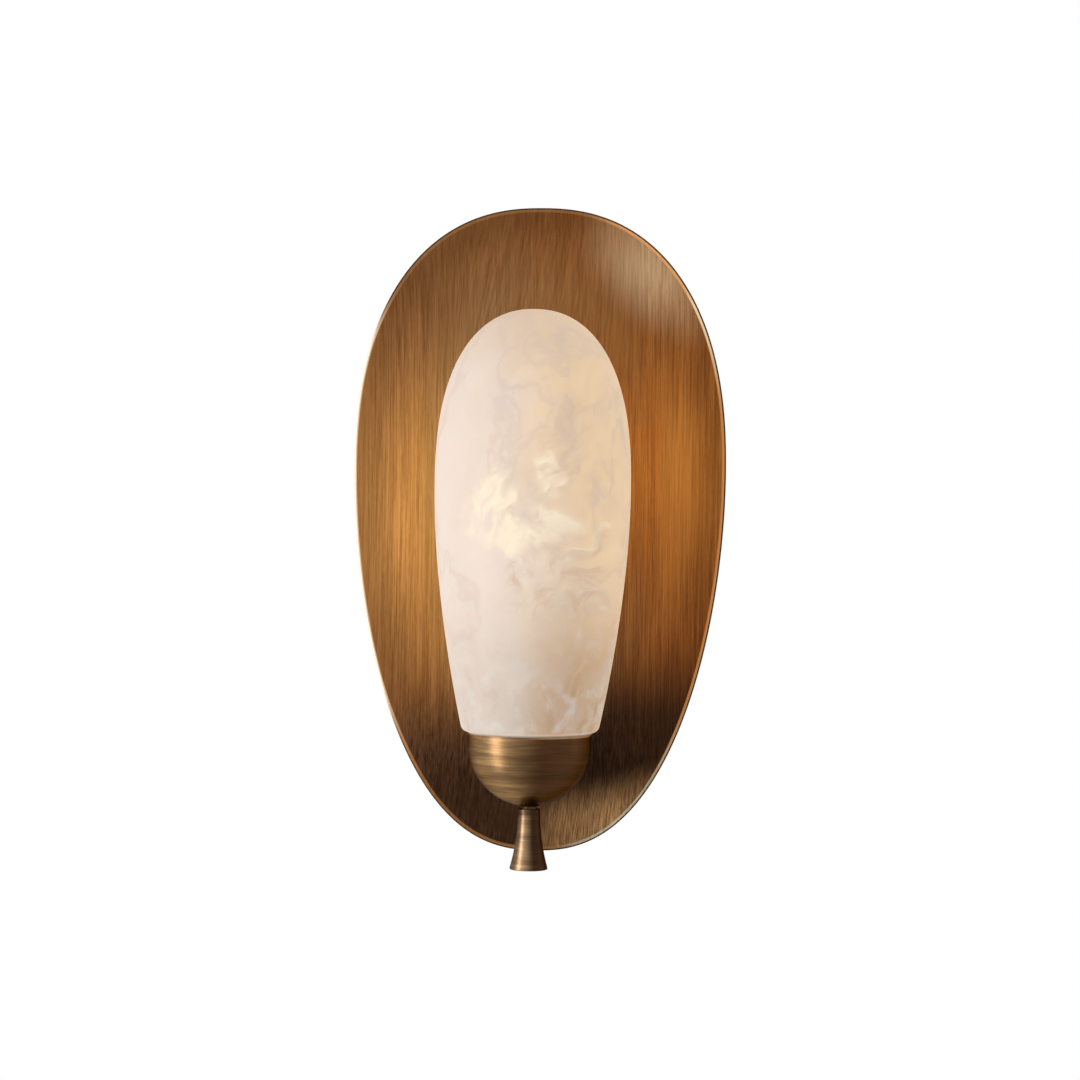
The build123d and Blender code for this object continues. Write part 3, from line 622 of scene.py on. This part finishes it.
# %% The stone
def stone_finish():
    """Base colours first, then bands, veins, feathers, bright torn spots and the mottled foot."""
    material, tree, place, x, y, z = new_finish("alabaster")
    slow = stirred(tree, place, 10.0, 0.045)
    quick = stirred(tree, slow, 34.0, 0.016)
    bent = stirred(tree, place, 42.0, 0.014)
    leaned = add(tree, "ShaderNodeMapping", {}, {"Vector": quick, "Rotation": (0.0, 0.75, 0.0)})
    cloud = noise(tree, slow, (16, 16, 13), 5.0)
    haze = noise(tree, slow, (9, 9, 7), 3.0)
    fleck = noise(tree, quick, (60, 60, 48), 4.0)
    mottle = noise(tree, bent, (70, 70, 60), 5.0)
    broken = noise(tree, slow, (22, 22, 16), 2.0).rise(0.4, 0.62)
    feather = noise(tree, leaned, (40, 60, 150), 4.0, 0.0, 0.6)
    drift = noise(tree, leaned, (9, 20, 34), 4.0, 0.0, 0.6)
    long_vein = ridge(noise(tree, slow, (12, 12, 9), 5.0), 0.05)
    thin_vein = ridge(noise(tree, quick, (27, 27, 20), 5.0), 0.05) * broken
    bent_x, _, bent_z = split(tree, bent)

    def spot(centre, wide, tall):
        """A cloud with torn borders, 1 in its middle."""
        off_x, off_z = (bent_x - centre[0]) / wide, (bent_z - centre[1]) / tall
        return ((off_x * off_x + off_z * off_z) ** 0.5 + (fleck - 0.5) * 2.4).rise(1.35, 0.55)

    flank = (x + haze * 0.05).rise(0.01, 0.06) * z.rise(0.135, 0.08) * z.rise(-0.125, -0.07)
    feathered = spot((0.024, -0.026), 0.034, 0.034).math("MAXIMUM", flank * 0.35)
    amber = (x + cloud * 0.03).rise(0.002, 0.052)
    warm = (x + cloud * 0.1 + z * 0.12).rise(0.02, 0.1)
    low = z.rise(-0.02, -0.125)
    high = z.rise(0.085, 0.15)

    stone = haze.rise(0.42, 0.58).mix((0.84, 0.715, 0.625), (0.82, 0.72, 0.645))
    # The warmer right is partly the stone's own cream and partly a painted glow of the lamp inside.
    stone = warm.mix(stone, (0.94, 0.70, 0.45))
    # Painted shade: darker towards the foot and the crown, away from the lamp; near the foot the right also
    # turns browner.
    stone = low.mix(stone, amber.mix((0.67, 0.58, 0.51), (0.53, 0.32, 0.155)))
    stone = (high * 0.8).mix(stone, (0.77, 0.59, 0.44))
    inner = ((x * x + z * z * 0.2) ** 0.5).rise(0.05, 0.0)
    # Painted glow: the rear is warmer and brighter, and so is a thin line round the foot's lower edge.
    painted_foot_glow = z.rise(-0.1312, -0.133) * 0.5
    painted_rear_glow = (y + cloud * 0.012 - 0.006).rise(-0.132, -0.102).math("MAXIMUM", painted_foot_glow)
    stone = (painted_rear_glow * 0.75).mix(stone, (0.95, 0.74, 0.53))
    stone = (drift.rise(0.46, 0.66) * (0.2 + warm * 0.25)).mix(stone, (0.72, 0.57, 0.45))
    stone = (long_vein * 0.4).mix(stone, (0.68, 0.55, 0.48))
    stone = (spot((-0.001, 0.026), 0.012, 0.028) * 0.35).mix(stone, (0.74, 0.59, 0.48))
    stone = (feather.rise(0.46, 0.66) * feathered * 0.5).mix(stone, (0.66, 0.47, 0.33))
    stone = (feather.rise(0.46, 0.3) * feathered * 0.7).mix(stone, (1.0, 0.86, 0.64))
    stone = (thin_vein * (0.12 + feathered * 0.3)).mix(stone, (0.62, 0.48, 0.40))
    glints = {
        (-0.020, 0.017): (0.017, 0.017), (-0.010, -0.004): (0.020, 0.010),
        (0.013, 0.036): (0.010, 0.018), (0.017, 0.006): (0.018, 0.008),
    }
    for centre, (wide, tall) in glints.items():
        stone = (spot(centre, wide, tall) * feather.rise(0.7, 0.35)).mix(stone, (1.0, 0.86, 0.66))
    stone = (low * mottle.rise(0.48, 0.66) * 0.5).mix(stone, (0.76, 0.69, 0.63))
    stone = (low * mottle.rise(0.44, 0.3) * 0.3).mix(stone, (0.54, 0.43, 0.37))
    # The stone's own light, stronger at the rear and the right as painted glow, and in the middle nearest the
    # lamp.
    lit = stone.scaled(0.4 + painted_rear_glow * 0.08 + warm * 0.08 + inner * 0.07)
    sockets = {
        "Base Color": stone, "Emission Color": lit, "Emission Strength": 1.0, "Roughness": 0.42 + cloud * 0.15,
        "Specular IOR Level": 0.3, "Subsurface Weight": 0.15, "Subsurface Scale": 0.004,
        "Normal": bumped(tree, cloud + long_vein * 0.3, 0.05, 0.001),
    }
    end_finish(tree, sockets)
    return material


shade = make(
    "stone_shade", turned_tree, shade_section, {"Around": 192, "Reach": lamp_reach},
    stone_finish(), "shade", "shade",
)
print("stone finish has", len(shade.data.materials[0].node_tree.nodes), "nodes")

# %% [markdown]
# ## Threads that mesh
# The lamp's shell and the lampholder's sleeve are thin metal rolled into the same wave, so they screw
# into each other. The turned tree already has a thread in it: the radius follows a sine of height less
# turn. Both pieces use the same pitch, so the lamp can turn along its thread and still mesh. The stud
# that holds the finial is made by the same tree with a finer pitch.

# %% Lamp shell, sleeve and stud
lamp_pitch, stud_pitch = 3.629, 1.0
shell_wave = [(12.98, 1, -94.4 + step * 0.4) for step in range(33)]
lamp_shell = [(11.0, 0, -96.0), (12.1, 0, -95.8), (12.8, 0, -95.2)] + shell_wave
lamp_shell += [(12.95, 0, -80.6), (13.0, 0, -78), (13.05, 0, -76.0), (12.65, 0, -76.0), (12.6, 0, -80.6)]
lamp_shell += [(12.6, 0, -94.9), (11.9, 0, -95.4), (11.0, 0, -95.6), (11.0, 0, -96.0)]
sleeve_wave = [(13.17, 1, -104.1 + step * 0.4) for step in range(60)]
sleeve = [(13.15, 0, -104.5)] + sleeve_wave + [(13.2, 0, -80.1), (13.2, 0, -80.0), (13.5, 0, -80.0)]
sleeve += [(13.5, share, level) for _, share, level in reversed(sleeve_wave)]
sleeve += [(13.5, 0, -104.5), (13.15, 0, -104.5)]
stud_wave = [(2.8, 1, -197.9 + step * 0.125) for step in range(280)]
stud_section = [(0, 0, -198.4), (2.2, 0, -198.4)] + stud_wave + [(2.8, 0, -160.0), (0, 0, -160.0)]
print("threads:", len(shell_wave), len(sleeve_wave), len(stud_wave), "rows")

# %% [markdown]
# ## The remaining finishes
# Most pieces keep the model's own mesh, whose shape is right, and only need their material. Metals share
# the brass idea with other colours and stroke directions. Glazed, moulded and drawn pieces share a second
# idea: one colour with faint clouds in it, a little grain, and a gloss that changes from place to place.


# %% Moulded, glazed and cast surfaces
def smooth_finish(name, colour, spots, rough, grain=60, bump=0.03, more=None):
    """A body colour with faint spots of a second one, and slightly uneven gloss."""
    material, tree, place, *_ = new_finish(name)
    cloud = noise(tree, place, (grain, grain, grain), 3.0, 0.3)
    speck = noise(tree, place, (grain * 9, grain * 9, grain * 9), 2.0)
    body = (cloud.rise(0.4, 0.7) * 0.6).mix(colour, spots)
    body = (speck.rise(0.62, 0.78) * 0.3).mix(body, spots)
    sockets = {"Base Color": body, "Roughness": rough + cloud * 0.12 + speck * 0.05}
    normal = bumped(tree, cloud + speck * 0.4, bump, 0.0003)
    end_finish(tree, {**sockets, **(more or {}), "Normal": normal})
    return material


def glass_finish():
    """Clear glass with faint smears on it."""
    material, tree, place, *_ = new_finish("clear_glass")
    smear = noise(tree, place, (45, 45, 18), 3.0, 0.8)
    sockets = {"Base Color": smear.rise(0.3, 0.8).mix((1.0, 1.0, 1.0), (0.96, 0.97, 0.96))}
    clear = {"IOR": 1.47, "Transmission Weight": 1.0}
    end_finish(tree, {**sockets, **clear, "Roughness": smear.rise(0.55, 0.8) * 0.06})
    return material


def filament_finish():
    """Coated rods that glow, a little unevenly along their length."""
    material, tree, place, *_ = new_finish("filament_phosphor")
    bands = noise(tree, place, (60, 60, 420), 2.0)
    light = bands.rise(0.3, 0.7).mix((1.0, 0.55, 0.2), (1.0, 0.7, 0.36))
    sockets = {"Base Color": bands.mix((0.85, 0.62, 0.2), (0.95, 0.75, 0.3)), "Roughness": 0.5 + bands * 0.2}
    end_finish(tree, {**sockets, "Emission Color": light, "Emission Strength": 1.6})
    return material


# %% The metals by material slot: patina, rubbed metal, strokes, roughness, bump, painted highlight side, painted shade heights
cup_painted_highlight = ((0.40, 0.245, 0.115), (0.3, -0.5), (-0.8, -1.0))
finial_painted_highlight = ((0.50, 0.33, 0.19), (0.4, -0.45), (-0.55, -0.75))
metals = {
    "pan_brass": ((0.20, 0.117, 0.048), (0.26, 0.155, 0.065), (160, 160, 160), 0.4, 0.08),
    "arm_brass": ((0.13, 0.07, 0.028), (0.19, 0.105, 0.042), (60, 900, 60), 0.28, 0.1),
    "turned_brass": (
        (0.052, 0.024, 0.0105), (0.082, 0.037, 0.0155), (45, 45, 1000), 0.26, 0.2, cup_painted_highlight, (-0.176, -0.183),
    ),
    "gallery_brass": ((0.14, 0.062, 0.022), (0.4, 0.22, 0.09), (60, 60, 500), 0.28),
    "finial_brass": (
        (0.03, 0.014, 0.007), (0.05, 0.024, 0.012), (40, 40, 500), 0.28, 0.02, finial_painted_highlight, (-0.191, -0.1865),
    ),
    "dark_brass": ((0.03, 0.014, 0.007), (0.11, 0.055, 0.024), (40, 40, 900), 0.35),
    "raw_brass": ((0.42, 0.24, 0.08), (0.72, 0.48, 0.2), (60, 60, 700), 0.22),
    "spring_brass": ((0.5, 0.3, 0.11), (0.78, 0.54, 0.24), (500, 60, 60), 0.25),
    "brass_screw": ((0.4, 0.23, 0.08), (0.75, 0.5, 0.21), (300, 300, 300), 0.28),
    "steel_hardware": ((0.3, 0.3, 0.31), (0.58, 0.58, 0.58), (260, 260, 260), 0.34),
    "zinc_steel": ((0.34, 0.34, 0.33), (0.6, 0.6, 0.57), (40, 200, 500), 0.36),
    "tinned_copper": ((0.42, 0.4, 0.38), (0.68, 0.66, 0.62), (220, 220, 220), 0.3),
    "nickel_sheet": ((0.42, 0.4, 0.36), (0.7, 0.67, 0.6), (60, 60, 800), 0.22),
    "solder": ((0.3, 0.3, 0.3), (0.6, 0.6, 0.6), (420, 420, 420), 0.38),
}

# %% The smooth pieces by material slot: body, spots, roughness, grain, bump, further sockets
smooth_pieces = {
    "green_screw": ((0.02, 0.2, 0.06), (0.06, 0.3, 0.12), 0.3, 60, 0.03, {"Metallic": 0.6}),
    "porcelain": ((0.82, 0.81, 0.77), (0.74, 0.72, 0.67), 0.12, 40, 0.02, {"Coat Weight": 0.4}),
    "silicone": ((0.62, 0.6, 0.56), (0.52, 0.5, 0.46), 0.5, 120),
    "black_glass": ((0.012, 0.012, 0.014), (0.04, 0.03, 0.05), 0.08, 90),
    "white_plastic": ((0.78, 0.78, 0.75), (0.7, 0.69, 0.65), 0.38, 90),
    "connector_plastic": ((0.75, 0.22, 0.03), (0.62, 0.16, 0.02), 0.4, 110, 0.05),
    "black_lead": ((0.02, 0.02, 0.022), (0.05, 0.05, 0.05), 0.42, 160),
    "white_lead": ((0.78, 0.77, 0.73), (0.66, 0.65, 0.6), 0.42, 160),
    "green_lead": ((0.03, 0.24, 0.06), (0.08, 0.34, 0.1), 0.42, 160),
}
finishes = {name: brass_finish(name, *values) for name, values in metals.items()}
finishes.update({name: smooth_finish(name, *values) for name, values in smooth_pieces.items()})
finishes.update({"clear_glass": glass_finish(), "filament_phosphor": filament_finish()})
print("finishes:", len(finishes))

# %% Threaded pieces, made now that their finishes exist
threads = {
    "threaded_lamp_shell": (lamp_shell, lamp_pitch, 0.3, "lamp", "nickel_sheet", "bulb_base"),
    "threaded_sleeve": (sleeve, lamp_pitch, 0.3, "fixture", "nickel_sheet", "screw_shell"),
    "threaded_stud": (stud_section, stud_pitch, 0.2, "fixture", "raw_brass", "finial_stud"),
}
for name, (section, pitch, thread_depth, body, slot, node) in threads.items():
    sizes = {"Thread pitch": pitch / 1000, "Thread depth": thread_depth / 1000}
    sizes.update({"Around": 72, "Reach": lamp_reach})
    make(name, turned_tree, section, sizes, finishes[slot], body, node)

# %% Give every remaining piece of the model its finish
slot_of = {part["node"]: part["material_slot"] for part in frame["record"]["subparts"]}
for name, piece in nodes.items():
    if slot_of[name] in finishes:
        for place in piece.material_slots:
            place.material = finishes[slot_of[name]]
print("pieces per finish:", {slot: list(slot_of.values()).count(slot) for slot in finishes})

# %% [markdown]
# ## Studio light
# The photograph has a white surround and one tall soft light at the left, which shows as the upright
# streak on the cup, along with the cup's painted highlight. A weak box at the right keeps that side of the
# brass from going flat, and a box above rounds the crown. Rays that only see the background get white, and
# so do rays off metal and through glass, while the light that falls on the object stays low enough for pale
# stone to keep its colour.


# %% Rays that see the background
def seen_rays(tree):
    """1 for rays from the camera, off a mirror or through glass, and 0 for light that falls on things."""
    ray = add(tree, "ShaderNodeLightPath", out="Is Camera Ray")
    return ray.math("MAXIMUM", ray.other("Is Glossy Ray")).math("MAXIMUM", ray.other("Is Transmission Ray"))


# %% World
world = bpy.data.worlds.new("studio")
bpy.context.scene.world = world
world.use_nodes = True
sky = world.node_tree
sky.nodes.clear()
room = add(sky, "ShaderNodeBackground", {}, {"Color": (1.0, 0.985, 0.96), "Strength": 0.25})
white = add(sky, "ShaderNodeBackground", {}, {"Color": (1, 1, 1), "Strength": 1.0})
both = add(sky, "ShaderNodeMixShader", {}, {0: seen_rays(sky), 1: room, 2: white})
sky.links.new(both.socket, sky.nodes.new("ShaderNodeOutputWorld").inputs["Surface"])
bpy.context.scene.view_settings.view_transform = "Standard"


# %% Soft lights
def soft_light(name, place, aim_at, width, height, power, colour):
    """A soft box that faces a point."""
    data = bpy.data.lights.new(name, "AREA")
    data.shape = "RECTANGLE"
    data.size, data.size_y = width, height
    data.energy = power
    data.color = colour
    light = bpy.data.objects.new(name, data)
    bpy.context.scene.collection.objects.link(light)
    light.location = place
    light.rotation_euler = (Vector(aim_at) - light.location).to_track_quat("-Z", "Y").to_euler()


soft_light("tall_soft_box", (-1.2, -0.75, -0.25), (0, -0.1, -0.1), 0.42, 1.7, 9.0, (1.0, 0.97, 0.93))
soft_light("side_soft_box", (1.4, 0.0, 0.1), (0, -0.1, 0), 0.3, 1.2, 0.9, (1.0, 0.96, 0.9))
soft_light("top_soft_box", (0.5, -1.2, 1.5), (0, -0.05, 0), 0.8, 0.8, 4.0, (1.0, 0.98, 0.95))
print("soft boxes:", {light.name: round(light.energy, 1) for light in bpy.data.lights})

# %% [markdown]
# ## The floor
# A wall light has no floor of its own, so a pale one lies well below it and in front, outside the
# photograph's view, and only shows when the sconce is looked at from above. A weak glow, which only the
# camera, mirrors and glass see, brings it near white, and it fades out at its rim.

# %% Floor
floor_centre, floor_radius = (0, -0.95, -0.62), 1.0
floor_mesh = bpy.data.meshes.new("floor")
disc = bmesh.new()
where = Matrix.Translation(floor_centre)
bmesh.ops.create_circle(disc, cap_ends=True, segments=96, radius=floor_radius, matrix=where)
disc.to_mesh(floor_mesh)
disc.free()
floor = bpy.data.objects.new("floor", floor_mesh)
bpy.context.scene.collection.objects.link(floor)
pale, tree, place, x, y, z = new_finish("pale_floor")
grain = noise(tree, place, (30, 30, 30), 3.0)
ahead = y - floor_centre[1]
matt = {"Base Color": grain.mix((0.86, 0.86, 0.86), (0.9, 0.9, 0.9)), "Roughness": 0.8}
matt = {**matt, "Emission Color": seen_rays(tree).mix((0, 0, 0), (0.4, 0.4, 0.4)), "Emission Strength": 1.0}
end_finish(tree, {**matt, "Alpha": ((x * x + ahead * ahead) ** 0.5).rise(floor_radius, floor_radius / 2)})
floor_mesh.materials.append(pale)
print("floor of radius", floor_radius, "m at", floor_centre)
